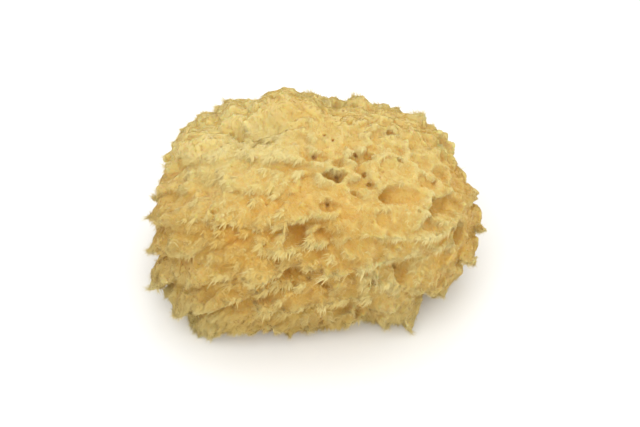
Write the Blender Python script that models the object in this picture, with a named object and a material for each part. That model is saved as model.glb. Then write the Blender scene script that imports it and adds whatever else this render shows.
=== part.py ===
"""A natural bath sponge, resting on the flat cut where it was taken off the rock.

It grew as one piece, so it is one closed solid. A fine sphere is drawn out to the sponge's body, then
carries its lumps, its torn ledges, its ragged tufts and its pits, and is thinned to a light mesh.
Metres, +Z up, +X along the sponge's length, -Y towards its best side.
"""

import math
import random

import bmesh
import bpy
from mathutils import Matrix, Vector, noise

# Body: a rounded block, wider than it is deep, and deeper than it is high.
HALF_LENGTH = 0.0700
HALF_DEPTH = 0.0500
HALF_HEIGHT = 0.0430
BLOCKINESS = 2.6
CUT_DEPTH = 0.0080

# The best side, where pits and ledges are laid out, is seen from this far above the horizon.
VIEW_RISE = math.radians(45.0)

# How far the outline of that side stands out from the plain block, at every 15 degrees from the
# right end round by the top.
OUTLINE = (
    0.0065, 0.0010, 0.0022, 0.0010, -0.0015, -0.0025, 0.0025, -0.0035, -0.0010, -0.0050, -0.0075, -0.0085,
    -0.0068, -0.0060, -0.0020, 0.0030, -0.0010, -0.0055, -0.0062, -0.0080, -0.0095, 0.0005, -0.0036, 0.0042,
)

# The underside is plain: relief fades out between these downward shares of a direction.
UNDERSIDE = (0.62, 0.80)

# Ledges: torn shelves that step down from a ridge along the top to the front and to the back. They
# lean a little to the left, and each hangs over a groove.
RIDGE_PLACE, RIDGE_SOFTNESS = 0.012, 0.014
LEDGE_LEAN = math.radians(3.0)
LEDGE_PITCH = 0.0112
LEDGE_REACH = 0.0058
LEDGE_BULGE = 0.8
LIP_EDGE = (-0.05, 0.16)
LEDGE_DROOP = 0.0032
LEDGE_WANDER, LEDGE_WANDER_SPAN = 0.0045, 0.030
LEDGE_TOOTH, LEDGE_TOOTH_SPAN = 0.45, 0.0058
LEDGE_BREAK, LEDGE_BREAK_SPAN = (-0.55, 0.00), 0.019
GROOVE_SHARE = 0.30
GROOVE_DEPTH = 0.0052

# The crown, at the upper middle of the best side, has soft puffs and hardly any ledges.
CROWN_PLACE = (0.026, 0.022)
CROWN_REACH = (0.022, 0.050)
CROWN_LEDGES = 0.12
CROWN_TUFTS = 0.35

# Lumps and tufts of the surface: how far each stands out, and how far apart they are.
LUMP_RISE, LUMP_SPAN = 0.0030, 0.022
TUFT_RISE, TUFT_SPAN = 0.0028, 0.0056

# Valleys run between flat-topped puffs, and are missing in patches.
PUFF_SPAN = 0.0135
VALLEY_DEPTH, VALLEY_HALF_WIDTH = 0.0034, 0.32
VALLEY_PATCH, VALLEY_PATCH_SPAN = (-0.20, 0.25), 0.020

# Dimples: rounded hollows strewn between the pits, at some of the places where one could be.
DIMPLE_SPAN = 0.0105
DIMPLE_DEPTH, DIMPLE_REACH = 0.0050, (0.12, 0.46)
DIMPLE_CHANCE = (-0.10, 0.05)

# Places in the noise that patterns are taken from, so that no two of them match.
WANDER_PLACE = Vector((7.0, 1.0, 3.0))
BREAK_PLACE = Vector((2.0, 9.0, 4.0))
TUFT_PLACE = Vector((5.0, 5.0, 5.0))
DIMPLE_PLACE = Vector((11.3, 4.6, 8.2))

# Pits of the best side: (across, up), half width, half height, depth and turn in degrees.
PITS = (
    ((0.0402, -0.0236), 0.0036, 0.0056, 0.0150, 0),
    ((0.0245, -0.0285), 0.0028, 0.0036, 0.0100, 0),
    ((0.0600, 0.0035), 0.0090, 0.0040, 0.0140, 18),
    ((0.0400, 0.0080), 0.0052, 0.0050, 0.0090, 0),
    ((0.0480, 0.0330), 0.0046, 0.0032, 0.0050, 0),
    ((0.0300, 0.0370), 0.0034, 0.0036, 0.0060, 0),
    ((0.0205, 0.0255), 0.0056, 0.0036, 0.0100, -18),
    ((0.0225, 0.0150), 0.0030, 0.0048, 0.0110, 12),
    ((0.0080, 0.0165), 0.0050, 0.0028, 0.0100, 8),
    ((-0.0015, 0.0245), 0.0046, 0.0026, 0.0110, -28),
    ((0.0045, 0.0035), 0.0042, 0.0028, 0.0080, -20),
    ((0.0055, -0.0085), 0.0058, 0.0038, 0.0110, 4),
    ((-0.0095, -0.0080), 0.0044, 0.0048, 0.0110, 30),
    ((-0.0070, -0.0245), 0.0050, 0.0040, 0.0120, -20),
    ((0.0035, -0.0300), 0.0036, 0.0030, 0.0080, 0),
    ((0.0670, -0.0090), 0.0038, 0.0038, 0.0080, 0),
    ((0.0560, -0.0200), 0.0046, 0.0038, 0.0070, 30),
    ((-0.0240, 0.0320), 0.0100, 0.0030, 0.0080, -8),
    ((-0.0430, 0.0120), 0.0120, 0.0026, 0.0080, -5),
    ((-0.0405, -0.0120), 0.0130, 0.0026, 0.0090, 7),
    ((-0.0230, -0.0345), 0.0130, 0.0026, 0.0090, 6),
)

# Pits of the other sides, strewn evenly. A direction this near to the eye's is on the best side.
OTHER_PITS = 60
OTHER_PIT_HALF_WIDTH = (0.0028, 0.0052)
OTHER_PIT_DEPTH = (0.0070, 0.0130)
OTHER_PIT_STRAY = 0.3
BEST_SIDE_SHARE = 0.35

# A pit's walls fall from its mouth's edge to its floor between these shares of its half width.
PIT_FLOOR, PIT_MOUTH = 0.55, 1.15
PIT_RAG, PIT_RAG_SPAN = 0.50, 0.0050

# Fineness: the sphere that is shaped, the grid that it is closed up on, and the triangles kept.
SPHERE_SUBDIVISIONS = 8
GRID_STEP = 0.0009
KEPT_TRIANGLES = 9700
SEARCH_STEPS = 30
SHARP_ANGLE = math.radians(60.0)

SPONGE_COLOUR = (0.76, 0.56, 0.24, 1.0)
SPONGE_ROUGHNESS = 0.95
SEED = 11

RIGHT = Vector((1.0, 0.0, 0.0))
VIEW_UP = Vector((0.0, math.sin(VIEW_RISE), math.cos(VIEW_RISE)))
TO_EYE = Vector((0.0, -math.cos(VIEW_RISE), math.sin(VIEW_RISE)))


def clear_scene():
    for thing in list(bpy.data.objects):
        bpy.data.objects.remove(thing)


def smooth_step(low, high, value):
    share = min(max((value - low) / (high - low), 0.0), 1.0)
    return share * share * (3.0 - 2.0 * share)


def outline_swell(direction):
    """How far the body stands out from the plain block: all of it at the rim, none facing the eye."""
    across, up = direction.dot(RIGHT), direction.dot(VIEW_UP)
    turn = math.atan2(up, across) / math.tau * len(OUTLINE)
    step = math.floor(turn)
    share = smooth_step(0.0, 1.0, turn - step)
    before = OUTLINE[step % len(OUTLINE)]
    after = OUTLINE[(step + 1) % len(OUTLINE)]
    return (before + share * (after - before)) * (across * across + up * up)


def body_reach(direction):
    """How far the smooth body reaches from its middle along a direction."""
    total = (
        abs(direction.x / HALF_LENGTH) ** BLOCKINESS
        + abs(direction.y / HALF_DEPTH) ** BLOCKINESS
        + abs(direction.z / HALF_HEIGHT) ** BLOCKINESS
    )
    return total ** (-1.0 / BLOCKINESS) + outline_swell(direction)


def seen_point(across, up):
    """The point of the body that is seen at this place of the best side."""
    place = RIGHT * across + VIEW_UP * up
    near, far = 0.0, HALF_LENGTH
    for _ in range(SEARCH_STEPS):
        middle = (near + far) / 2.0
        point = place + TO_EYE * middle
        if point.length > body_reach(point.normalized()):
            far = middle
        else:
            near = middle
    return place + TO_EYE * near


class Pit:
    """A hollow that runs straight in towards the sponge's middle, with an oval mouth."""

    def __init__(self, mouth, half_width, half_height, depth, turn):
        self.mouth = mouth
        self.depth = depth
        inward = mouth.normalized()
        side = VIEW_UP.cross(inward).normalized()
        rise = inward.cross(side)
        spin = Matrix.Rotation(turn, 3, inward)
        self.across = (spin @ side) / half_width
        self.up = (spin @ rise) / half_height

    def sink(self, point):
        """How far a point of the surface sinks: all the way in the middle, with steep walls."""
        offset = point - self.mouth
        share = math.hypot(offset.dot(self.across), offset.dot(self.up))
        share += PIT_RAG * noise.noise(point / PIT_RAG_SPAN)
        if share > PIT_MOUTH or point.dot(self.mouth) < 0.0:
            return 0.0
        return self.depth * (1.0 - smooth_step(PIT_FLOOR, PIT_MOUTH, share))


def best_side_pits():
    return [
        Pit(seen_point(*place), half_width, half_height, depth, math.radians(turn))
        for place, half_width, half_height, depth, turn in PITS
    ]


def other_pits(draw):
    """Pits on a golden spiral round the body, where no pit is laid out by hand."""
    golden_angle = math.pi * (3.0 - math.sqrt(5.0))
    found = []
    for step in range(OTHER_PITS):
        z = 1.0 - 2.0 * (step + 0.5) / OTHER_PITS
        ring = math.sqrt(1.0 - z * z)
        turn = golden_angle * step + draw.uniform(-OTHER_PIT_STRAY, OTHER_PIT_STRAY)
        direction = Vector((ring * math.cos(turn), ring * math.sin(turn), z))
        half_width = draw.uniform(*OTHER_PIT_HALF_WIDTH)
        half_height = draw.uniform(*OTHER_PIT_HALF_WIDTH)
        depth = draw.uniform(*OTHER_PIT_DEPTH)
        spin = draw.uniform(0.0, math.pi)
        if direction.dot(TO_EYE) < BEST_SIDE_SHARE:
            mouth = direction * body_reach(direction)
            found.append(Pit(mouth, half_width, half_height, depth, spin))
    return found


def crown_share(point):
    """How far a point is within the crown: 1 in its middle, 0 outside it and behind."""
    gap = math.hypot(point.dot(RIGHT) - CROWN_PLACE[0], point.dot(VIEW_UP) - CROWN_PLACE[1])
    if point.dot(TO_EYE) < 0.0:
        return 0.0
    return 1.0 - smooth_step(*CROWN_REACH, gap)


def ledge_uphill(point):
    """The way up the ledges: back and up on the front, forwards and up behind the ridge."""
    past_the_ridge = (point.y - RIDGE_PLACE) / RIDGE_SOFTNESS
    uphill = Vector((-math.tan(LEDGE_LEAN), -math.tanh(past_the_ridge), 1.0))
    return uphill.normalized()


def ledge_height(point):
    """How far up the stack of ledges a point is, counted in ledges."""
    past_the_ridge = math.hypot(point.y - RIDGE_PLACE, RIDGE_SOFTNESS)
    height = (point.z - past_the_ridge) / math.sqrt(2.0) - math.tan(LEDGE_LEAN) * point.x
    wander = noise.noise(point / LEDGE_WANDER_SPAN + WANDER_PLACE)
    return (height + LEDGE_WANDER * wander) / LEDGE_PITCH


def ledge(point, crown):
    """A ledge's rise and its droop. It grows outwards as it goes down, and its lip hangs over a groove."""
    height = ledge_height(point)
    up_the_shelf = height - math.floor(height)
    tooth = 1.0 + LEDGE_TOOTH * noise.noise(point / LEDGE_TOOTH_SPAN)
    lip = (1.0 - up_the_shelf) ** LEDGE_BULGE * smooth_step(*LIP_EDGE, up_the_shelf) * tooth
    groove = smooth_step(1.0 - GROOVE_SHARE, 1.0, up_the_shelf)
    whole = smooth_step(*LEDGE_BREAK, noise.noise(point / LEDGE_BREAK_SPAN + BREAK_PLACE))
    strength = whole * (1.0 - (1.0 - CROWN_LEDGES) * crown)
    rise = (LEDGE_REACH * lip - GROOVE_DEPTH * groove) * strength
    return rise, LEDGE_DROOP * lip * strength


def valley_sink(point):
    """How far the surface sinks between flat-topped puffs."""
    distances, _ = noise.voronoi(point / PUFF_SPAN)
    edge = 1.0 - smooth_step(0.0, VALLEY_HALF_WIDTH, distances[1] - distances[0])
    patch = smooth_step(*VALLEY_PATCH, noise.noise(point / VALLEY_PATCH_SPAN))
    return VALLEY_DEPTH * edge * patch


def dimple_sink(point):
    """How far the surface sinks in a dimple."""
    distances, middles = noise.voronoi(point / DIMPLE_SPAN + DIMPLE_PLACE)
    present = smooth_step(*DIMPLE_CHANCE, noise.noise(middles[0]))
    return DIMPLE_DEPTH * present * (1.0 - smooth_step(*DIMPLE_REACH, distances[0]))


def roughness_rise(point, crown):
    """How far lumps and tufts stand out at a point of the body, less its valleys and dimples."""
    lump = LUMP_RISE * noise.noise(point / LUMP_SPAN)
    tuft = TUFT_RISE * abs(noise.noise(point / TUFT_SPAN + TUFT_PLACE))
    tuft *= 1.0 - (1.0 - CROWN_TUFTS) * crown
    return lump + tuft - valley_sink(point) - dimple_sink(point)


def shape_body():
    """Draws a fine sphere out to the sponge's surface, with its pits sunk in."""
    shape = bmesh.new()
    bmesh.ops.create_icosphere(shape, subdivisions=SPHERE_SUBDIVISIONS, radius=1.0)
    pits = best_side_pits() + other_pits(random.Random(SEED))
    for vert in shape.verts:
        direction = vert.co.normalized()
        point = direction * body_reach(direction)
        sink = max(pit.sink(point) for pit in pits)
        crown = crown_share(point)
        rise, droop = ledge(point, crown)
        outwards = direction * (rise + roughness_rise(point, crown) - sink)
        relief = 1.0 - smooth_step(*UNDERSIDE, -direction.z)
        vert.co = point + (outwards - ledge_uphill(point) * droop) * relief
    mesh = bpy.data.meshes.new("sponge_fine")
    shape.to_mesh(mesh)
    shape.free()
    return mesh


def shaped_by(mesh, kind, **settings):
    """A new mesh that one modifier makes of this one."""
    holder = bpy.data.objects.new(mesh.name, mesh)
    bpy.context.scene.collection.objects.link(holder)
    modifier = holder.modifiers.new(kind.lower(), kind)
    for name, value in settings.items():
        setattr(modifier, name, value)
    bpy.context.view_layer.update()
    graph = bpy.context.evaluated_depsgraph_get()
    result = bpy.data.meshes.new_from_object(holder.evaluated_get(graph))
    bpy.data.objects.remove(holder)
    return result


def close_up(mesh):
    """Wraps the drooping ledges in one closed skin that doesn't cross itself."""
    return shaped_by(mesh, "REMESH", mode="VOXEL", voxel_size=GRID_STEP)


def thin_out(mesh):
    """Merges the fine mesh down to the triangles that its shape needs."""
    triangles = sum(len(face.vertices) - 2 for face in mesh.polygons)
    return shaped_by(mesh, "DECIMATE", ratio=KEPT_TRIANGLES / triangles)


def drop_crumbs(shape):
    """Keeps the biggest piece of the shape, and drops what the cut or the closing up left loose."""
    biggest, left = set(), set(shape.verts)
    while left:
        reached, waiting = set(), [left.pop()]
        while waiting:
            vert = waiting.pop()
            reached.add(vert)
            neighbours = {edge.other_vert(vert) for edge in vert.link_edges} & left
            left -= neighbours
            waiting += neighbours
        biggest = max(biggest, reached, key=len)
    crumbs = [vert for vert in shape.verts if vert not in biggest]
    bmesh.ops.delete(shape, geom=crumbs, context="VERTS")


def cut_off_the_rock(mesh):
    """Cuts the underside flat, and puts the origin at the middle of the box's bottom."""
    shape = bmesh.new()
    shape.from_mesh(mesh)
    everything = [*shape.verts, *shape.edges, *shape.faces]
    level = Vector((0.0, 0.0, CUT_DEPTH - HALF_HEIGHT))
    cut = bmesh.ops.bisect_plane(
        shape, geom=everything, plane_co=level, plane_no=Vector((0.0, 0.0, -1.0)), clear_outer=True
    )
    rim = [part for part in cut["geom_cut"] if isinstance(part, bmesh.types.BMEdge)]
    bmesh.ops.triangle_fill(shape, edges=rim, use_beauty=True)
    drop_crumbs(shape)
    bmesh.ops.recalc_face_normals(shape, faces=shape.faces)
    middle = Vector((0.0, 0.0, level.z))
    for axis in (0, 1):
        ends = [vert.co[axis] for vert in shape.verts]
        middle[axis] = (min(ends) + max(ends)) / 2.0
    bmesh.ops.translate(shape, vec=-middle, verts=shape.verts)
    bmesh.ops.triangulate(shape, faces=shape.faces)
    shape.to_mesh(mesh)
    shape.free()


def sponge_material():
    material = bpy.data.materials.new("dry_spongin")
    material.use_nodes = True
    shader = material.node_tree.nodes["Principled BSDF"]
    shader.inputs["Base Color"].default_value = SPONGE_COLOUR
    shader.inputs["Roughness"].default_value = SPONGE_ROUGHNESS
    shader.inputs["Metallic"].default_value = 0.0
    return material


def build_sponge():
    mesh = thin_out(close_up(shape_body()))
    cut_off_the_rock(mesh)
    mesh.name = "sponge"
    mesh.materials.clear()
    mesh.materials.append(sponge_material())
    mesh.shade_smooth()
    mesh.set_sharp_from_angle(angle=SHARP_ANGLE)
    sponge = bpy.data.objects.new("sponge", mesh)
    bpy.context.scene.collection.objects.link(sponge)
    return sponge


def main():
    clear_scene()
    build_sponge()


main()
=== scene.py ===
"""A natural bath sponge: its torn, porous body, the fuzz on it and the tufts along its ledges.

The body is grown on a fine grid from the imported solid, which keeps its size and its main forms. The
grid adds what is too fine for that solid: clumps, torn strands and small pores. Fuzz and tufts are
thin blades that stand on the body. Lengths in this file are metres, and spans of patterns are given
in millimetres where MM is named.
"""

import math

import bpy
import numpy as np
import openvdb
from bpy.props import FloatProperty, IntProperty, PointerProperty, StringProperty
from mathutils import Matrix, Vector


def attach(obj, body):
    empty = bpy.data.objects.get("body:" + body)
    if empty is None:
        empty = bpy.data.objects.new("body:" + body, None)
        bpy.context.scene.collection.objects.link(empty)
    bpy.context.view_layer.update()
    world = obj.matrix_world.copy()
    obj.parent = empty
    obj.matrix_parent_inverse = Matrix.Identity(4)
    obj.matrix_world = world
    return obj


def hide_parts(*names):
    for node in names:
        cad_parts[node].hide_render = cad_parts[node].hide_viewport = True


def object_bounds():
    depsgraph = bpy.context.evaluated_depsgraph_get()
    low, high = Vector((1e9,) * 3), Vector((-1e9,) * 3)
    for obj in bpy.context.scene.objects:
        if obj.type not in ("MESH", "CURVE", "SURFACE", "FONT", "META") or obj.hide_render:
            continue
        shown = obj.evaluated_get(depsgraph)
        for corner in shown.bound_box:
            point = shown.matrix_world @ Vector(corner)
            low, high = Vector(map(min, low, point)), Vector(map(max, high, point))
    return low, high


bl_info = {
    "name": "Natural Bath Sponge",
    "version": (1, 0, 0),
    "blender": (4, 5, 0),
    "location": "3D View > Sidebar > Sponge",
    "description": "Grows a natural bath sponge with its fuzz and tufts on a pale studio floor",
    "category": "Add Mesh",
}

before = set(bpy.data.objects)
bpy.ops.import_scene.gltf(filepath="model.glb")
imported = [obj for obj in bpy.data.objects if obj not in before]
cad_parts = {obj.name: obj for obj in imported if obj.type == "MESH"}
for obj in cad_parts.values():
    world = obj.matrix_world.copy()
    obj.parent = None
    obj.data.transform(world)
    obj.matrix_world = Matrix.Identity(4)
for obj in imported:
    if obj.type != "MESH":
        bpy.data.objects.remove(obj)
CAD_LOW, CAD_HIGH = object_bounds()
MM = 0.001

# The solid's own frame: the middle of the body, the ridge along its top, and the best side's view. The
# relief of the best side lies right of the solid's by the shift, round the middle that is seen there.
BODY_MIDDLE = np.array([-0.0067, 0.0002, 0.0350], np.float32)
RELIEF_SHIFT = 0.0076
SEEN_MIDDLE = BODY_MIDDLE + np.array([RELIEF_SHIFT, 0.0, 0.0], np.float32)
SEEN_HALF_WIDTH, SEEN_HALF_HEIGHT = 0.072, 0.054
RIDGE_PLACE, RIDGE_SOFTNESS = 0.012, 0.014
LEDGE_LEAN = math.radians(3.0)
VIEW_RISE = math.radians(45.0)
RIGHT = np.array([1.0, 0.0, 0.0], np.float32)
VIEW_UP = np.array([0.0, math.sin(VIEW_RISE), math.cos(VIEW_RISE)], np.float32)
TO_EYE = np.array([0.0, -math.cos(VIEW_RISE), math.sin(VIEW_RISE)], np.float32)


# Noise and grids


class Noise:
    """Smooth noise that repeats every CELLS cells, near -1 to 1, read at any points."""

    CELLS, FINENESS = 32, 4

    def __init__(self, seed):
        draw = np.random.default_rng(seed)
        values = draw.uniform(-1.0, 1.0, (self.CELLS,) * 3).astype(np.float32)
        for axis in range(3):
            values = self.smoother(values, axis)
        self.size = self.CELLS * self.FINENESS
        self.values = np.clip(values * 1.9, -1.0, 1.0).ravel()

    def smoother(self, values, axis):
        """Puts FINENESS points on a cubic spline for each one along an axis."""
        before, after, later = (np.roll(values, shift, axis) for shift in (1, -1, -2))
        steps = []
        for step in range(self.FINENESS):
            t = step / self.FINENESS
            steps.append(
                (1 - t) ** 3 / 6 * before
                + (4 - 6 * t**2 + 3 * t**3) / 6 * values
                + (1 + 3 * t + 3 * t**2 - 3 * t**3) / 6 * after
                + t**3 / 6 * later
            )
        finer = np.stack(steps, axis + 1)
        shape = list(values.shape)
        shape[axis] *= self.FINENESS
        return finer.reshape(shape)

    def at(self, points, span, shift=0.0):
        """The noise at points, with cells of this span: one length, or one for each axis."""
        spot = (points / np.asarray(span, np.float32) + shift) * self.FINENESS
        spot = np.mod(spot, self.size).astype(np.float32)
        low = np.minimum(spot.astype(np.int32), self.size - 1)
        share = spot - low
        high = (low + 1) % self.size
        total = np.zeros(len(points), np.float32)
        for x, wx in ((low[:, 0], 1 - share[:, 0]), (high[:, 0], share[:, 0])):
            for y, wy in ((low[:, 1], 1 - share[:, 1]), (high[:, 1], share[:, 1])):
                line = (x * self.size + y) * self.size
                for z, wz in ((low[:, 2], 1 - share[:, 2]), (high[:, 2], share[:, 2])):
                    total += wx * wy * wz * self.values[line + z]
        return total


NOISE = Noise(7)
CELL_JITTER = np.random.default_rng(3).uniform(0.0, 1.0, (16, 16, 16, 3)).astype(np.float32)
CELL_NUMBER = np.random.default_rng(4).uniform(-1.0, 1.0, (16, 16, 16)).astype(np.float32)


def lock_centres(points, span):
    """The nearest to each point of centres strewn one to a cell, and a number from -1 to 1 for it."""
    spot = points / span
    cell = np.floor(spot).astype(np.int32)
    best = np.full(len(points), np.inf, np.float32)
    centres = np.zeros_like(points)
    numbers = np.zeros(len(points), np.float32)
    for offset in np.ndindex(3, 3, 3):
        near = cell + np.array(offset, np.int32) - 1
        x, y, z = (near & 15).T
        centre = near + CELL_JITTER[x, y, z]
        gap = ((spot - centre) ** 2).sum(1)
        closer = gap < best
        best[closer] = gap[closer]
        centres[closer] = centre[closer]
        numbers[closer] = CELL_NUMBER[x, y, z][closer]
    return centres * span, numbers


def smooth_step(low, high, value):
    share = np.clip((value - low) / (high - low), 0.0, 1.0)
    return share * share * (3.0 - 2.0 * share)


def unit(vectors):
    return vectors / np.maximum(np.linalg.norm(vectors, axis=1, keepdims=True), 1e-9)


class Grid:
    """A block of values on a regular grid, with the place of its lowest corner."""

    def __init__(self, values, low, step):
        self.values, self.low, self.step = values, np.asarray(low, np.float32), step

    def at(self, points):
        """The values at any points, blended from the eight around each."""
        limit = np.array(self.values.shape) - 1.001
        spot = np.clip((points - self.low) / self.step, 0.0, limit).astype(np.float32)
        low = spot.astype(np.int32)
        share = spot - low
        flat = self.values.ravel()
        _, ny, nz = self.values.shape
        total = np.zeros(len(points), np.float32)
        for dx in (0, 1):
            wx = share[:, 0] if dx else 1 - share[:, 0]
            for dy in (0, 1):
                wy = share[:, 1] if dy else 1 - share[:, 1]
                line = ((low[:, 0] + dx) * ny + low[:, 1] + dy) * nz + low[:, 2]
                total += wx * wy * (1 - share[:, 2]) * flat[line]
                total += wx * wy * share[:, 2] * flat[line + 1]
        return total


def blurred(values, radius):
    """Averages a block of values over a cube of this many cells each way."""
    width = 2 * radius + 1
    for axis in range(3):
        padding = [(0, 0)] * 3
        padding[axis] = (radius + 1, radius)
        total = np.cumsum(np.pad(values, padding, mode="edge"), axis, dtype=np.float64)
        ends = [slice(None)] * 3
        starts = [slice(None)] * 3
        ends[axis], starts[axis] = slice(width, None), slice(None, -width)
        values = ((total[tuple(ends)] - total[tuple(starts)]) / width).astype(np.float32)
    return values


# The solid's shape as numbers


def mesh_arrays(mesh):
    """The points and triangles of a mesh."""
    points = np.zeros(len(mesh.vertices) * 3, np.float32)
    mesh.vertices.foreach_get("co", points)
    mesh.calc_loop_triangles()
    triangles = np.zeros(len(mesh.loop_triangles) * 3, np.int32)
    mesh.loop_triangles.foreach_get("vertices", triangles)
    return points.reshape(-1, 3), triangles.reshape(-1, 3)


def growth_frame(points):
    """Across, up the ledges and outwards, in metres: the ledges are level in the second of them."""
    own = points - BODY_MIDDLE
    past_the_ridge = np.hypot(own[:, 1] - RIDGE_PLACE, RIDGE_SOFTNESS)
    uphill = (own[:, 2] - past_the_ridge) / math.sqrt(2.0) - math.tan(LEDGE_LEAN) * own[:, 0]
    outward = (own[:, 2] + past_the_ridge) / math.sqrt(2.0)
    return np.stack([own[:, 0], uphill, outward], 1)


def crown_share(points):
    """1 in the middle of the soft crown, at the upper right of the best side, and 0 outside it."""
    own = points - SEEN_MIDDLE
    gap = np.hypot(own[:, 0] - 0.026, own @ VIEW_UP - 0.022)
    return (1.0 - smooth_step(0.024, 0.052, gap)) * (own @ TO_EYE > 0.0)


def rim_reach(points):
    """How far out points are on the best side: 0 in its middle and about 1 at its outline."""
    own = points - SEEN_MIDDLE
    return np.hypot(own[:, 0] / SEEN_HALF_WIDTH, own @ VIEW_UP / SEEN_HALF_HEIGHT)


def rim_share(points):
    """1 at the outline of the best side and beyond it, and 0 well inside."""
    return smooth_step(0.75, 1.0, rim_reach(points))


def seen_zone(points, across, up, half_width, half_height):
    """1 at this place of the best side, falling to 0 at this far from it, in millimetres."""
    own = (points - SEEN_MIDDLE) / MM
    gap = np.hypot((own[:, 0] - across) / half_width, (own @ VIEW_UP - up) / half_height)
    return (1.0 - smooth_step(0.3, 1.0, gap)) * smooth_step(-30.0, -10.0, own @ TO_EYE)


def downhill(points):
    """The way that a ledge's lip hangs: forwards and down on the front, back and down behind."""
    own = points - BODY_MIDDLE
    past_the_ridge = np.tanh((own[:, 1] - RIDGE_PLACE) / RIDGE_SOFTNESS)
    left = np.full(len(points), -0.35, np.float32)
    return unit(np.stack([left, past_the_ridge, -np.ones_like(left)], 1))


# Materials


def linear(code):
    """An sRGB hex colour as linear red, green, blue and alpha."""
    channels = [int(code[place : place + 2], 16) / 255 for place in (1, 3, 5)]
    return [c / 12.92 if c <= 0.04045 else ((c + 0.055) / 1.055) ** 2.4 for c in channels] + [1.0]


def add_node(tree, kind, links=(), **settings):
    """Adds a node, sets its inputs (by name or number) and properties, and links its inputs."""
    node = tree.nodes.new(kind)
    for name, value in settings.items():
        if name.startswith("in_"):
            key = name[3:]
            node.inputs[int(key) if key.isdigit() else key.replace("_", " ")].default_value = value
        else:
            setattr(node, name, value)
    for socket, source in links:
        tree.links.new(source, node.inputs[socket])
    return node


def spongin(name, colours, translucence):
    """Dry spongin, the horny fibre of a bath sponge, bleached and air dried.

    It is matt, and in bulk light passes some way through it. Tips are cream, and hollows are painted
    golden to rust, partly as painted shade and light bounced in the hollows. The grey mix is partly
    painted
    shade: greyer towards the bottom, the lower part and the outline. Tone runs from hollow to tip, and
    the grey mix from fresh to grey.
    """
    material = bpy.data.materials.new(name)
    material.use_nodes = True
    tree = material.node_tree
    shader = tree.nodes["Principled BSDF"]
    tone = add_node(tree, "ShaderNodeAttribute", attribute_name="tone")
    age = add_node(tree, "ShaderNodeAttribute", attribute_name="age")
    ramps = []
    for codes in (colours.fresh.split(), colours.greyed_and_shaded.split()):
        ramp = add_node(tree, "ShaderNodeValToRGB", [("Fac", tone.outputs["Fac"])])
        stops = ramp.color_ramp.elements
        while len(stops) < len(codes):
            stops.new(0.5)
        for number, code in enumerate(codes):
            stops[number].position = number / (len(codes) - 1)
            stops[number].color = linear(code)
        ramps.append(ramp.outputs["Color"])
    mix = add_node(
        tree,
        "ShaderNodeMix",
        [(0, age.outputs["Fac"]), (6, ramps[0]), (7, ramps[1])],
        data_type="RGBA",
    )
    tree.links.new(mix.outputs[2], shader.inputs["Base Color"])
    shader.inputs["Roughness"].default_value = 0.92
    shader.inputs["IOR"].default_value = 1.53
    shader.inputs["Specular IOR Level"].default_value = 0.15
    shader.inputs["Subsurface Weight"].default_value = translucence
    shader.inputs["Subsurface Radius"].default_value = (1.0, 0.62, 0.25)
    shader.inputs["Subsurface Scale"].default_value = 5.0 * MM
    shader.inputs["Sheen Weight"].default_value = colours.sheen
    shader.inputs["Sheen Roughness"].default_value = 0.5
    shader.inputs["Sheen Tint"].default_value = linear("#FFF0C8")
    return material


# The body


# Distances are known this near to the solid, which is all that the relief needs.
NEAR_BAND = 0.0066


def solid_grid(step, band):
    """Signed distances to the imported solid, on a grid: below zero inside it."""
    points, triangles = mesh_arrays(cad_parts["sponge"].data)
    scale = 1.0 / step
    distances = openvdb.FloatGrid.createLevelSetFromPolygons(
        points * scale, triangles=triangles.astype(np.uint32), halfWidth=band / step
    )
    low, high = distances.evalActiveVoxelBoundingBox()
    values = np.zeros([b - a + 1 for a, b in zip(low, high)], np.float32)
    distances.copyToArray(values, ijk=low)
    return Grid(values * step, np.array(low) * step, step)


def grid_points(grid, mask):
    cells = np.argwhere(mask).astype(np.float32)
    return cells * grid.step + grid.low


def carve_pore(grid, mouth, inward, radius, depth):
    """Bores a pore that narrows as it goes in, bent off its line a little."""
    reach = radius * 2.2 + depth
    low = np.maximum(((mouth - reach - grid.low) / grid.step).astype(int), 0)
    high = np.minimum(((mouth + reach - grid.low) / grid.step).astype(int) + 2, grid.values.shape)
    if (high <= low).any():
        return
    block = tuple(slice(a, b) for a, b in zip(low, high))
    axes = [
        (np.arange(a, b, dtype=np.float32) * grid.step + origin)
        for a, b, origin in zip(low, high, grid.low)
    ]
    place = np.stack(np.meshgrid(*axes, indexing="ij"), -1) - mouth
    along = place @ inward
    aside = np.linalg.norm(place - along[..., None] * inward, axis=-1)
    shape = along.shape
    rag = NOISE.at((place + mouth).reshape(-1, 3).astype(np.float32), 1.7 * MM).reshape(shape)
    aside = aside * (1.0 + 0.7 * rag)
    share = np.clip(along / depth, -1.0, 1.0)
    width = radius * (1.0 - 0.45 * np.clip(share, 0.0, 1.0)) + 0.25 * radius * np.clip(-share, 0, 1)
    hollow = np.maximum(aside - width, np.abs(along) - depth)
    grid.values[block] = np.maximum(grid.values[block], -hollow)


def biggest_part(points, quads):
    """Drops crumbs: keeps the points and quads of the biggest connected piece."""
    label = np.arange(len(points))
    edges = np.concatenate([quads[:, [0, 1]], quads[:, [1, 2]], quads[:, [2, 3]]])
    while True:
        least = np.minimum(label[edges[:, 0]], label[edges[:, 1]])
        new = label.copy()
        np.minimum.at(new, edges[:, 0], least)
        np.minimum.at(new, edges[:, 1], least)
        new = new[new]
        if (new == label).all():
            break
        label = new
    names, counts = np.unique(label, return_counts=True)
    kept = label == names[counts.argmax()]
    number = np.cumsum(kept) - 1
    return points[kept], number[quads[kept[quads[:, 0]]]]


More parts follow.
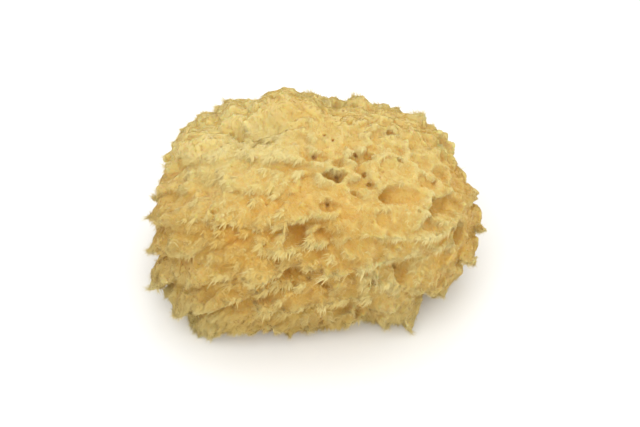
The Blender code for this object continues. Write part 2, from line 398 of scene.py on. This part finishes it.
def shaped_by(mesh, kind, **settings):
    """A new mesh that one modifier makes of this one."""
    holder = bpy.data.objects.new(mesh.name, mesh)
    bpy.context.scene.collection.objects.link(holder)
    modifier = holder.modifiers.new(kind.lower(), kind)
    for name, value in settings.items():
        setattr(modifier, name, value)
    bpy.context.view_layer.update()
    graph = bpy.context.evaluated_depsgraph_get()
    result = bpy.data.meshes.new_from_object(holder.evaluated_get(graph))
    bpy.data.objects.remove(holder)
    return result


def seen_spot(grid, across, up):
    """Where the body is seen at this place of its best side."""
    aim = SEEN_MIDDLE + RIGHT * across + VIEW_UP * up
    reach = np.arange(0.10, -0.05, -0.0004, dtype=np.float32)
    line = aim + reach[:, None] * TO_EYE
    inside = grid.at(line) < 0.0
    return line[inside.argmax()] if inside.any() else None


# Pores of the best side: across and up as it is seen, radius and depth, in millimetres.
BEST_PORES = (
    (6.9, 32.0, 1.1, 2.6),
    (3.1, 34.2, 0.9, 2.2),
    (14.5, 40.3, 1.3, 1.8),
    (16.9, 25.4, 1.3, 3.0),
    (21.5, 25.2, 2.2, 2.2),
    (32.0, 35.6, 1.8, 2.0),
    (8.5, 15.6, 1.3, 3.2),
    (5.8, 17.2, 1.7, 2.2),
    (20.5, 16.5, 1.3, 3.2),
    (22.5, 12.4, 1.4, 2.4),
    (15.7, 8.5, 1.4, 2.2),
    (27.1, 15.6, 1.0, 1.4),
    (4.5, 3.6, 1.5, 3.2),
    (45.4, 12.0, 1.1, 2.2),
    (51.2, 14.2, 1.3, 1.8),
    (-3.1, -27.6, 1.4, 2.6),
    (3.5, -30.0, 1.5, 2.6),
    (-1.5, 24.5, 1.2, 2.6),
    (-24.0, 32.0, 1.4, 1.6),
    (-33.0, 28.0, 1.0, 1.4),
)

# Pits of the solid that stay open on the best side: across and up as it is seen, and reach, in
# millimetres.
OPEN_PITS = (
    (60.0, 3.5, 8.0),
    (40.2, -23.6, 6.5),
    (24.5, -28.5, 4.5),
    (5.5, -8.5, 5.5),
    (-9.5, -8.0, 5.0),
    (-7.0, -24.5, 5.0),
    (8.0, 16.5, 4.5),
    (21.0, 21.0, 6.0),
)

# Places of the best side where the pile stands higher or lower than the solid: across and up as it is
# seen, reach and rise, in millimetres.
RAISED = (
    (-9.0, 57.0, 9.0, -1.8),
    (-18.0, 50.5, 12.0, 4.0),
)

# Zones of the best side with painted light and shade: across and up as it is seen, half the width and
# the height in millimetres, and what is added to the tone and to the grey mix. The rows paint a pool of
# light at the upper left, and shade at the lower left, in a groove between ledges and towards both
# sides.
PAINTED_LIGHT_AND_SHADE_ZONES = (
    (-22.0, -18.0, 57.0, 57.0, -0.18, 0.0),
    (-36.0, 26.0, 40.0, 40.0, 0.18, -0.45),
    (-42.0, -9.0, 22.0, 8.0, -0.20, 0.0),
    (-76.0, -4.0, 26.0, 36.0, -0.20, 0.10),
    (74.0, -2.0, 28.0, 36.0, -0.20, 0.45),
)


def pore_mouths(grid, amount, draw):
    """Places for pores, strewn evenly over the surface, with the way in at each."""
    near = np.abs(grid.values) < grid.step * 0.6
    near[:, :, : int(max(0.006 - grid.low[2], 0) / grid.step)] = False
    cells = np.argwhere(near)
    cells = cells[draw.choice(len(cells), amount, replace=False)]
    points = cells * grid.step + grid.low
    slope = []
    for axis in range(3):
        ahead, behind = cells.copy(), cells.copy()
        ahead[:, axis] = np.minimum(ahead[:, axis] + 2, grid.values.shape[axis] - 1)
        behind[:, axis] = np.maximum(behind[:, axis] - 2, 0)
        slope.append(grid.values[tuple(ahead.T)] - grid.values[tuple(behind.T)])
    return points.astype(np.float32), -unit(np.stack(slope, 1).astype(np.float32))


def combed(points):
    """The way that the torn edges point: down the ledges and to the left, and straight down below."""
    low = smooth_step(0.030, 0.008, points[:, 2])[:, None]
    return unit(downhill(points) - RIGHT * 0.55 * (1.0 - low))


def comb_place(points):
    """Places whose first number stays the same along the combed way, so that patterns run that way."""
    across, uphill, outward = growth_frame(points).T
    turn = math.radians(32.0)
    first = across * math.cos(turn) - uphill * math.sin(turn)
    second = across * math.sin(turn) + uphill * math.cos(turn)
    return np.stack([first, second, outward + 0.7 * points[:, 1]], 1)


def open_share(points):
    """1 in the wide pits of the best side, which the pile leaves open, and 0 away from them."""
    own = points - SEEN_MIDDLE
    across, up = own[:, 0] / MM, own @ VIEW_UP / MM
    share = np.zeros(len(points), np.float32)
    for pit_across, pit_up, reach in OPEN_PITS:
        gap = np.hypot(across - pit_across, up - pit_up) / reach
        share = np.maximum(share, 1.0 - smooth_step(0.7, 1.2, gap))
    return share * (own @ TO_EYE > 0.0)


def grown_grid(sizes):
    """The solid's distances, with torn edges, strands and pores worked into them."""
    step = sizes.grid_step
    solid = solid_grid(step, NEAR_BAND)
    near = np.abs(solid.values) < NEAR_BAND * 0.94
    points = grid_points(solid, near)
    inner = 1.0 - smooth_step(0.80, 1.05, rim_reach(points))
    inner = inner * smooth_step(-0.020, 0.005, (points - SEEN_MIDDLE) @ TO_EYE)
    shift = inner[:, None] * RIGHT * RELIEF_SHIFT
    juts = Grid(blurred(solid.values, 4) - solid.values, solid.low, step)
    jut = juts.at(points - shift) / MM
    lip = smooth_step(0.02, 0.30, jut)
    sway = np.stack([NOISE.at(points, 8.5 * MM, shift) for shift in (0.3, 5.1, 9.7)], 1)
    tug = np.stack([NOISE.at(points, 2.6 * MM, shift) for shift in (2.3, 7.1, 11.7)], 1)
    crown = crown_share(points)
    ragged = 1.0 - 0.6 * crown
    place = comb_place(points) + sway * 1.4 * MM
    teeth = 0.45 * NOISE.at(place, (2.6 * MM, 8 * MM, 7 * MM), 1.0)
    teeth += 0.65 * NOISE.at(place, (1.4 * MM, 5 * MM, 4 * MM), 3.0)
    drawn = combed(points) * (teeth * ragged * (0.15 + 0.85 * lip))[:, None] * sizes.tooth_length
    # The pile half fills narrow grooves and wide dimples: each is a softer copy of the solid, set back.
    soft = Grid(blurred(blurred(solid.values, 4), 4), solid.low, step)
    plump = Grid(blurred(blurred(soft.values, 5), 5), solid.low, step)
    moved = points + sway * sizes.sway + tug * sizes.tug - drawn
    opened = open_share(points)
    source = moved - shift
    distance = np.minimum(solid.at(source), soft.at(source) + sizes.groove_left * (1.0 + 2.0 * opened))
    fill_level = sizes.dimple_left * (1.5 - 0.5 * crown + 2.5 * opened)
    distance = np.minimum(distance, plump.at(source) + fill_level)
    distance += plump.at(moved) - plump.at(source)
    for across, up, reach, rise in RAISED:
        distance -= rise * MM * seen_zone(points, across, up, reach, reach)
    strands = NOISE.at(place + tug * 0.5 * MM, (1.5 * MM, 4.5 * MM, 3.5 * MM), 8.0)
    clumps = NOISE.at(place, (3.6 * MM, 5.5 * MM, 4.4 * MM), 5.0)
    grain = NOISE.at(points, 0.85 * MM, 2.0)
    distance -= sizes.clump_depth * clumps
    distance -= sizes.strand_depth * strands * (0.3 + 0.9 * lip) * ragged
    distance -= sizes.grain_depth * grain * (0.6 + 0.6 * lip)
    values = solid.values.copy()
    values[near] = distance
    grid = Grid(values, solid.low, step)
    draw = np.random.default_rng(5)
    mouths, inward = pore_mouths(grid, sizes.pore_count, draw)
    for mouth, way in zip(mouths, inward):
        radius = draw.choice((0.5, 0.7, 0.9, 1.3), p=(0.3, 0.35, 0.25, 0.1)) * MM
        way = unit((way + draw.normal(0.0, 0.35, 3))[None])[0].astype(np.float32)
        carve_pore(grid, mouth, way, radius, radius * draw.uniform(1.2, 2.2))
    for across, up, radius, depth in BEST_PORES:
        mouth = seen_spot(grid, across * MM, up * MM)
        if mouth is not None:
            carve_pore(grid, mouth, -TO_EYE, radius * MM, depth * MM)
    heights = np.arange(values.shape[2], dtype=np.float32) * step + grid.low[2]
    grid.values = np.maximum(grid.values, -heights[None, None, :])
    return grid


def set_values(mesh, **values):
    """Stores one number for each vertex under each name."""
    for name, numbers in values.items():
        layer = mesh.attributes.new(name, "FLOAT", "POINT")
        layer.data.foreach_set("value", np.ascontiguousarray(numbers, np.float32))


def set_bake_map(mesh, tone, age):
    """A map whose places are the tone and the grey mix, which are all that the colour depends on."""
    layer = mesh.uv_layers.new(name="OFBake", do_init=False)
    corners = np.zeros(len(mesh.loops), np.int32)
    mesh.loops.foreach_get("vertex_index", corners)
    places = np.stack([tone, age], 1)[corners] * 0.96 + 0.02
    layer.data.foreach_set("uv", np.ascontiguousarray(places, np.float32).ravel())


class Body:
    """What the fuzz and the tufts need to know of the body."""

    grid = None
    fill = None
    wide_fill = None
    mesh = None


def tone_grey_and_shade(points):
    """Tone, 0 in hollows to 1 on tips, and the grey mix, 0 fresh to 1 grey, at points of the body. Both
    carry painted light and shade.
    """
    fill = Body.fill.at(points)
    wide = Body.wide_fill.at(points)
    own = points - BODY_MIDDLE
    mottle = NOISE.at(points, 11 * MM, 4.0) * 0.6 + NOISE.at(points, 3.2 * MM, 2.0) * 0.4
    # Painted light and shade in the tone: hollows (fill and wide) are painted darker and more golden,
    # and the upper part of the best side (high) is painted lighter, as light from above falls on it.
    high = np.clip((own @ VIEW_UP - 0.004) / 0.040, -1.0, 1.0)
    tone = 0.61 - 0.5 * (fill - 0.5) - 0.6 * (wide - 0.5) + 0.12 * mottle + 0.12 * high
    # Painted shade in the grey mix: greyer and darker towards the outline (rim), the bottom (low) and
    # the lower part of the best side (lower), where less light falls. It is also greyer towards the
    # left, and patch is a random greying.
    rim = smooth_step(0.035, 0.085, np.linalg.norm(own * (0.72, 0.95, 1.0), axis=1))
    low = smooth_step(0.045, 0.0, points[:, 2])
    left = smooth_step(0.0, -0.075, own[:, 0])
    patch = NOISE.at(points, 22 * MM, 7.0)
    lower = smooth_step(0.005, -0.045, own @ VIEW_UP)
    age = 0.10 + 0.30 * low + 0.25 * lower + 0.30 * left + 0.25 * rim + 0.18 * patch
    # Painted light and shade of the zones: a pool of light at the upper left, and shade in the others.
    for across, up, half_width, half_height, tone_change, grey_and_shade_change in PAINTED_LIGHT_AND_SHADE_ZONES:
        zone = seen_zone(points, across, up, half_width, half_height)
        tone, age = tone + tone_change * zone, age + grey_and_shade_change * zone
    return np.clip(tone, 0.0, 1.0), np.clip(age, 0.0, 1.0)


class SPONGE_OT_body(bpy.types.Operator):
    """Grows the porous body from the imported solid"""

    bl_idname = "sponge.body"
    bl_label = "Grow Body"

    def execute(self, context):
        sizes, colours = context.scene.sponge_sizes, context.scene.sponge_colours
        grid = grown_grid(sizes)
        surface = openvdb.FloatGrid(float(grid.values.max()))
        surface.copyFromArray(np.ascontiguousarray(grid.values / grid.step, np.float32))
        points, _, quads = surface.convertToPolygons(isovalue=0.0, adaptivity=0.0)
        points, quads = biggest_part(points, quads.astype(np.int64))
        points = points * grid.step + grid.low
        points[:, 2] = np.maximum(points[:, 2], 0.0)
        mesh = bpy.data.meshes.new("sponge_body")
        mesh.from_pydata(points, [], quads[:, ::-1])
        triangles = len(quads) * 2
        if triangles > sizes.body_triangles:
            mesh = shaped_by(mesh, "DECIMATE", ratio=sizes.body_triangles / triangles)
        mesh = shaped_by(mesh, "TRIANGULATE")
        mesh.name = "sponge_body"
        Body.grid = grid
        solid = (grid.values < 0.0).astype(np.float32)
        Body.fill = Grid(blurred(blurred(solid, 2), 2), grid.low, grid.step)
        Body.wide_fill = Grid(blurred(blurred(solid, 6), 6), grid.low, grid.step)
        Body.mesh = mesh
        points, _ = mesh_arrays(mesh)
        tone, age = tone_grey_and_shade(points)
        set_values(mesh, tone=tone, age=age)
        set_bake_map(mesh, tone, age)
        mesh.shade_smooth()
        mesh.materials.append(spongin("dry_spongin", colours, 1.0))
        spongin("loose_spongin_fibre", colours, 0.0)
        body = bpy.data.objects.new("sponge_body", mesh)
        context.scene.collection.objects.link(body)
        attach(body, "root")
        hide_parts("sponge")
        return {"FINISHED"}


# Fuzz and tufts


def strewn(mesh, amount, weight, draw):
    """Points strewn over a mesh, with its smooth normals there. Weight tells how thick they stand."""
    points, triangles = mesh_arrays(mesh)
    normals = np.zeros(len(points) * 3, np.float32)
    mesh.vertices.foreach_get("normal", normals)
    normals = normals.reshape(-1, 3)
    a, b, c = (points[triangles[:, corner]] for corner in range(3))
    areas = np.linalg.norm(np.cross(b - a, c - a), axis=1)
    chance = areas * weight((a + b + c) / 3)
    picked = draw.choice(len(triangles), amount, p=chance / chance.sum())
    one, two = draw.random((2, amount)).astype(np.float32)
    flip = one + two > 1
    one[flip], two[flip] = 1 - one[flip], 1 - two[flip]
    shares = np.stack([1 - one - two, one, two], 1)[..., None]
    corners = triangles[picked]
    return (points[corners] * shares).sum(1), unit((normals[corners] * shares).sum(1))


def blade_mesh(name, rows, tones, greys_and_shades):
    """A mesh of blades. Rows are the left and right edge points from root to tip, and then the tip."""
    count = len(rows[0][0])
    points = [edge for pair in rows[:-1] for edge in pair] + [rows[-1]]
    points = np.stack(points, 1)
    per_blade = points.shape[1]
    faces = []
    for row in range(len(rows) - 2):
        left, right, next_left, next_right = range(2 * row, 2 * row + 4)
        faces += [(left, right, next_right), (left, next_right, next_left)]
    faces.append((per_blade - 3, per_blade - 2, per_blade - 1))
    faces = np.array(faces)[None] + np.arange(count)[:, None, None] * per_blade
    mesh = bpy.data.meshes.new(name)
    mesh.from_pydata(points.reshape(-1, 3), [], faces.reshape(-1, 3))
    side = np.tile([-0.008, 0.008] * (len(rows) - 1) + [0.0], count)
    tone = np.clip(np.stack(tones, 1).ravel(), 0.0, 1.0)
    age = np.clip(np.repeat(greys_and_shades, per_blade) + side, 0.0, 1.0)
    set_values(mesh, tone=tone, age=age)
    set_bake_map(mesh, tone, age)
    mesh.shade_smooth()
    return mesh


def flat_side(way, normals, draw):
    """Across each blade, so that it lies on the skin like pile, turned about its length a little."""
    across = unit(np.cross(way, normals))
    turned = unit(np.cross(way, draw.normal(0.0, 1.0, way.shape)))
    side = unit(across + 0.45 * turned)
    facing = (np.cross(side, way) * normals).sum(1, keepdims=True)
    return (side * np.where(facing < 0.0, -1.0, 1.0)).astype(np.float32)


def add_piece(context, name, mesh):
    mesh.materials.append(bpy.data.materials["loose_spongin_fibre"])
    piece = bpy.data.objects.new(name, mesh)
    context.scene.collection.objects.link(piece)
    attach(piece, "root")


def lean_of(points, normals, outward, hanging, stray, draw):
    """Which way blades point: out of the surface, away from the middle, down the ledge, and astray."""
    away = unit(points - BODY_MIDDLE)
    local = np.stack([NOISE.at(points, 2.6 * MM, shift) for shift in (1.7, 6.3, 12.9)], 1)
    loose = draw.normal(0.0, 1.0, points.shape).astype(np.float32)
    way = normals + outward * away + hanging * combed(points) + stray * local + 0.25 * stray * loose
    return unit(way)


class SPONGE_OT_fuzz(bpy.types.Operator):
    """Covers the body in short fuzz"""

    bl_idname = "sponge.fuzz"
    bl_label = "Lay Fuzz"

    def execute(self, context):
        sizes = context.scene.sponge_sizes
        for number in range(sizes.fuzz_pieces):
            draw = np.random.default_rng(100 + number)
            points, normals = strewn(
                Body.mesh,
                sizes.fuzz_count,
                lambda spots: 1.0
                - 0.85 * smooth_step(0.54, 0.70, Body.fill.at(spots))
                - 0.1 * (spots[:, 2] <= 0.0004),
                draw,
            )
            centres, luck = lock_centres(points, sizes.lock_span)
            way = lean_of(centres, normals, 0.5, 0.9, 0.7, draw)
            length = sizes.fuzz_length * draw.uniform(0.6, 1.3, len(points)) * (1.0 + 0.3 * luck)
            length *= 1.0 - 0.6 * smooth_step(0.52, 0.7, Body.fill.at(points))
            length = length[:, None].astype(np.float32)
            gather = centres - points
            gather -= (gather * normals).sum(1, keepdims=True) * normals
            gather *= 1.0 / (1.0 + np.linalg.norm(gather, axis=1, keepdims=True) / sizes.lock_span)
            side = flat_side(way, normals, draw)
            width = sizes.fuzz_width * draw.uniform(0.7, 1.3, (len(points), 1))
            root = points - normals * 0.2 * MM
            tip = points + way * length + gather * 0.8
            for row in (root, tip):
                row[:, 2] = np.maximum(row[:, 2], 1.3 * sizes.fuzz_width)
            tone, age = tone_grey_and_shade(points)
            # Blades are painted darker at the root and lighter at the tip, partly as painted light that
            # makes up for their own shade.
            tone = tone + draw.normal(0.0, 0.06, len(points)) + 0.10 * luck
            mesh = blade_mesh(
                f"sponge_fuzz_{number + 1}",
                [(root - side * width, root + side * width), tip],
                [tone - 0.10, tone - 0.10, tone + 0.24],
                age,
            )
            add_piece(context, mesh.name, mesh)
        return {"FINISHED"}


class SPONGE_OT_tufts(bpy.types.Operator):
    """Lays torn tufts over the body, each a frayed leaf of fibre that lies down the ledge"""

    bl_idname = "sponge.tufts"
    bl_label = "Lay Tufts"

    def execute(self, context):
        sizes = context.scene.sponge_sizes
        for number in range(sizes.tuft_pieces):
            draw = np.random.default_rng(200 + number)
            points, normals = strewn(Body.mesh, sizes.tuft_count, self.thickness, draw)
            fill = Body.fill.at(points)
            ridge = smooth_step(0.50, 0.34, fill)[:, None]
            hollow = smooth_step(0.54, 0.70, fill)[:, None]
            crown = crown_share(points)[:, None]
            along = combed(points)
            along = unit(along - (along * normals).sum(1, keepdims=True) * normals)
            stray = np.stack([NOISE.at(points, 3.1 * MM, shift) for shift in (1.7, 6.3, 12.9)], 1)
            stray += 0.35 * draw.normal(0.0, 1.0, points.shape)
            rim = rim_share(points)[:, None]
            along = along * (1.0 - 0.5 * rim)
            way = unit(along + (0.5 + 0.4 * crown + 1.6 * rim) * normals + 0.55 * stray)
            length = (0.65 + 0.75 * ridge - 0.3 * hollow) * (1.0 - 0.45 * crown) * (1.0 - 0.15 * rim)
            length = sizes.tuft_length * length * draw.uniform(0.6, 1.35, (len(points), 1))
            half = sizes.tuft_width * (0.6 + 0.4 * length / sizes.tuft_length)
            half = half * draw.uniform(0.7, 1.3, (len(points), 1))
            tone, age = tone_grey_and_shade(points)
            # Tufts are painted a little lighter than the body beneath them, and lighter still on
            # ridges, as painted light.
            tone = tone + 0.10 * draw.normal(0.0, 1.0, len(points)) + 0.05 + 0.08 * ridge[:, 0]
            name = f"sponge_tufts_{number + 1}"
            mesh = self.frayed(name, sizes, draw, points, normals, way, length, half, tone, age)
            add_piece(context, name, mesh)
        return {"FINISHED"}

    @staticmethod
    def thickness(points):
        """Tufts stand thickest on lips, and few are down in pits or on the cut."""
        fill = Body.fill.at(points)
        thick = 0.3 + 0.9 * smooth_step(0.62, 0.48, fill) + 1.4 * smooth_step(0.48, 0.36, fill)
        return (thick + 0.9 * rim_share(points)) * (points[:, 2] > 0.0015)

    @staticmethod
    def frayed(name, sizes, draw, points, normals, way, length, half, tone, age):
        """Each tuft as strips side by side, which overlap at its root and part towards its tip."""
        strips = sizes.tuft_strips
        place = np.tile(np.linspace(-1.0, 1.0, strips), len(points))[:, None]
        points, normals, way, length, half, tone, age = (
            np.repeat(values, strips, 0) for values in (points, normals, way, length, half, tone, age)
        )
        place = place + draw.uniform(-0.12, 0.12, place.shape)
        side = unit(np.cross(way, normals))
        facing = (np.cross(side, way) * normals).sum(1, keepdims=True)
        side = side * np.where(facing < 0.0, -1.0, 1.0)
        reach = draw.uniform(0.55, 1.1, place.shape) * (1.0 - 0.35 * place**2)
        root = points + side * place * half * 0.55 - normals * 0.35 * MM
        fray = draw.normal(0.0, 0.12, points.shape) * length
        tip = points + way * length * reach + side * place * half * 1.5 + fray
        tip = tip - normals * length * 0.15
        bend = root + (tip - root) * 0.45 + normals * length * (0.12 - 0.08 * place**2)
        for row in (root, bend, tip):
            row[:, 2] = np.maximum(row[:, 2], 0.3 * MM)
        wide = side * sizes.strip_width * draw.uniform(0.7, 1.4, place.shape)
        shade = draw.normal(0.0, 0.04, len(points))
        # Strips are painted darker at the root and lighter towards the tip, partly as painted light
        # that makes up for their own shade.
        return blade_mesh(
            name,
            [(root - wide, root + wide), (bend - wide * 0.9, bend + wide * 0.9), tip],
            [tone - 0.10, tone - 0.10, tone + 0.06 + shade, tone + 0.06 + shade, tone + 0.22],
            age,
        )


# The stage


# Each light: name, azimuth and elevation in degrees, and distance and size in metres.
LIGHTS = (
    ("key", -26.0, 52.0, 0.9, 0.80),
    ("fill", 15.0, 40.0, 1.0, 0.60),
    ("back", 165.0, 62.0, 0.9, 0.80),
)


class SPONGE_OT_stage(bpy.types.Operator):
    """Sets up the pale floor, the soft lights and the camera"""

    bl_idname = "sponge.stage"
    bl_label = "Set Stage"

    def execute(self, context):
        scene, stage = context.scene, context.scene.sponge_stage
        half = stage.floor_size / 2
        mesh = bpy.data.meshes.new("floor")
        corners = [(-half, -half, 0), (half, -half, 0), (half, half, 0), (-half, half, 0)]
        mesh.from_pydata(corners, [], [(0, 1, 2, 3)])
        floor = bpy.data.objects.new("floor", mesh)
        scene.collection.objects.link(floor)
        material = bpy.data.materials.new("matt_studio_paper")
        material.use_nodes = True
        shader = material.node_tree.nodes["Principled BSDF"]
        shader.inputs["Base Color"].default_value = linear(stage.floor_colour)
        shader.inputs["Roughness"].default_value = 0.9
        mesh.materials.append(material)
        world = bpy.data.worlds.new("studio")
        scene.world = world
        world.use_nodes = True
        background = world.node_tree.nodes["Background"]
        background.inputs["Color"].default_value = linear("#FFFFFF")
        background.inputs["Strength"].default_value = stage.room_light
        middle = Vector((0.0, 0.0, CAD_HIGH.z * 0.5))
        for name, azimuth, elevation, distance, size in LIGHTS:
            light = bpy.data.lights.new(name, "AREA")
            light.shape = "DISK"
            light.size = size
            light.energy = getattr(stage, f"{name}_power")
            lamp = bpy.data.objects.new(name, light)
            scene.collection.objects.link(lamp)
            a, e = math.radians(azimuth), math.radians(elevation)
            back = Vector((math.sin(a) * math.cos(e), -math.cos(a) * math.cos(e), math.sin(e)))
            lamp.location = middle + back * distance
            lamp.rotation_euler = (-back).to_track_quat("-Z", "Y").to_euler()
        camera = bpy.data.objects.new("camera", bpy.data.cameras.new("camera"))
        scene.collection.objects.link(camera)
        back = Vector(TO_EYE.tolist())
        aim = middle + Vector((stage.aim_across, 0, 0)) + Vector(VIEW_UP.tolist()) * stage.aim_up
        camera.location = aim + back * stage.camera_distance
        camera.rotation_euler = (-back).to_track_quat("-Z", "Y").to_euler()
        camera.data.sensor_width = 36.0
        camera.data.lens = 36.0 * stage.camera_distance / stage.view_width
        camera.data.clip_start, camera.data.clip_end = 0.01, 20.0
        scene.camera = camera
        scene.view_settings.view_transform = "Standard"
        return {"FINISHED"}


# Settings


class SpongeSizes(bpy.types.PropertyGroup):
    grid_step: FloatProperty(
        name="Grid Step", description="Spacing of the body's grid",
        default=0.0006, unit="LENGTH", precision=5,
    )
    body_triangles: IntProperty(
        name="Body Triangles", description="Most triangles of the body",
        default=190000,
    )
    sway: FloatProperty(
        name="Sway", description="How far the solid's forms are bent",
        default=0.0013, unit="LENGTH", precision=5,
    )
    tug: FloatProperty(
        name="Tug", description="How far its edges are torn",
        default=0.0007, unit="LENGTH", precision=5,
    )
    tooth_length: FloatProperty(
        name="Tooth Length", description="How far lips are drawn out",
        default=0.0018, unit="LENGTH", precision=5,
    )
    groove_left: FloatProperty(
        name="Groove Left", description="How much of narrow grooves stays open under the pile",
        default=0.0003, unit="LENGTH", precision=5,
    )
    dimple_left: FloatProperty(
        name="Dimple Left", description="How much of wide dimples stays open under the pile",
        default=0.0010, unit="LENGTH", precision=5,
    )
    clump_depth: FloatProperty(
        name="Clump Depth", description="Relief of the clumps",
        default=0.0003, unit="LENGTH", precision=5,
    )
    strand_depth: FloatProperty(
        name="Strand Depth", description="Relief of the strands",
        default=0.0004, unit="LENGTH", precision=5,
    )
    grain_depth: FloatProperty(
        name="Grain Depth", description="Relief of the fine grain",
        default=0.00018, unit="LENGTH", precision=5,
    )
    pore_count: IntProperty(
        name="Pores", description="Small pores strewn over the body",
        default=200,
    )
    fuzz_pieces: IntProperty(
        name="Fuzz Pieces", description="Meshes that the fuzz is split into",
        default=2,
    )
    fuzz_count: IntProperty(
        name="Fuzz Blades", description="Blades in each of them",
        default=190000,
    )
    lock_span: FloatProperty(
        name="Lock Span", description="Spacing of the locks that the fuzz gathers in",
        default=0.0030, unit="LENGTH", precision=5,
    )
    fuzz_length: FloatProperty(
        name="Fuzz Length", description="Usual length of a blade",
        default=0.0032, unit="LENGTH", precision=5,
    )
    fuzz_width: FloatProperty(
        name="Fuzz Width", description="Half of a blade's width",
        default=0.00010, unit="LENGTH", precision=5,
    )
    tuft_pieces: IntProperty(
        name="Tuft Pieces", description="Meshes that the tufts are split into",
        default=2,
    )
    tuft_count: IntProperty(
        name="Tufts", description="Tufts in each of them",
        default=10800,
    )
    tuft_strips: IntProperty(
        name="Tuft Strips", description="Strips side by side in a tuft",
        default=6,
    )
    tuft_length: FloatProperty(
        name="Tuft Length", description="Usual length of a tuft",
        default=0.0038, unit="LENGTH", precision=5,
    )
    tuft_width: FloatProperty(
        name="Tuft Width", description="Half of a tuft's usual width",
        default=0.0008, unit="LENGTH", precision=5,
    )
    strip_width: FloatProperty(
        name="Strip Width", description="Half of a strip's width",
        default=0.00020, unit="LENGTH", precision=5,
    )


class SpongeColours(bpy.types.PropertyGroup):
    # The hollow end of these ramps is darker and more golden, partly as painted shade and bounced
    # light.
    fresh: StringProperty(
        name="Fresh", description="sRGB colours from hollow to tip",
        default="#D4943A #DAA648 #DCB560 #DCC478 #E0CE8C",
    )
    # Greyer colours that the grey mix blends in, mostly as painted shade towards the outline and the
    # bottom.
    greyed_and_shaded: StringProperty(
        name="Aged", description="sRGB colours of aged spongin from hollow to tip",
        default="#B69646 #C0A256 #C8B068 #CEBC7C #D6C892",
    )
    sheen: FloatProperty(
        name="Sheen", description="Glow of the loose pile at its edges",
        default=0.5,
    )


class SpongeStage(bpy.types.PropertyGroup):
    floor_size: FloatProperty(
        name="Floor Size", description="Side of the floor",
        default=6.0, unit="LENGTH",
    )
    floor_colour: StringProperty(
        name="Floor", description="sRGB colour of the floor",
        default="#FAFAF8",
    )
    room_light: FloatProperty(
        name="Room Light", description="Strength of the light from all round",
        default=0.90,
    )
    key_power: FloatProperty(
        name="Key Light", description="Power of the main light",
        default=2.6, unit="POWER",
    )
    fill_power: FloatProperty(
        name="Fill Light", description="Power of the second light",
        default=1.6, unit="POWER",
    )
    back_power: FloatProperty(
        name="Back Light", description="Power of the light behind",
        default=1.4, unit="POWER",
    )
    camera_distance: FloatProperty(
        name="Camera Distance", description="From the sponge's middle",
        default=0.8, unit="LENGTH",
    )
    view_width: FloatProperty(
        name="View Width", description="How much is seen across at the sponge",
        default=0.287, unit="LENGTH",
    )
    aim_across: FloatProperty(
        name="Aim Across", description="How far right of the middle the camera aims",
        default=0.0022, unit="LENGTH",
    )
    aim_up: FloatProperty(
        name="Aim Up", description="How far above the middle the camera aims",
        default=-0.0036, unit="LENGTH",
    )


class SPONGE_PT_panel(bpy.types.Panel):
    bl_idname = "SPONGE_PT_panel"
    bl_label = "Natural Bath Sponge"
    bl_space_type = "VIEW_3D"
    bl_region_type = "UI"
    bl_category = "Sponge"

    def draw(self, context):
        layout = self.layout
        for name in ("sponge_sizes", "sponge_colours", "sponge_stage"):
            group = getattr(context.scene, name)
            box = layout.box()
            for key in group.__annotations__:
                box.prop(group, key)
        for operator in (SPONGE_OT_body, SPONGE_OT_fuzz, SPONGE_OT_tufts, SPONGE_OT_stage):
            layout.operator(operator.bl_idname)


CLASSES = (
    SpongeSizes,
    SpongeColours,
    SpongeStage,
    SPONGE_OT_body,
    SPONGE_OT_fuzz,
    SPONGE_OT_tufts,
    SPONGE_OT_stage,
    SPONGE_PT_panel,
)


def register():
    for cls in CLASSES:
        bpy.utils.register_class(cls)
    bpy.types.Scene.sponge_sizes = PointerProperty(type=SpongeSizes)
    bpy.types.Scene.sponge_colours = PointerProperty(type=SpongeColours)
    bpy.types.Scene.sponge_stage = PointerProperty(type=SpongeStage)


def unregister():
    del bpy.types.Scene.sponge_stage
    del bpy.types.Scene.sponge_colours
    del bpy.types.Scene.sponge_sizes
    for cls in reversed(CLASSES):
        bpy.utils.unregister_class(cls)


def main():
    register()
    bpy.ops.sponge.body()
    bpy.ops.sponge.fuzz()
    bpy.ops.sponge.tufts()
    bpy.ops.sponge.stage()


if __name__ == "__main__":
    main()
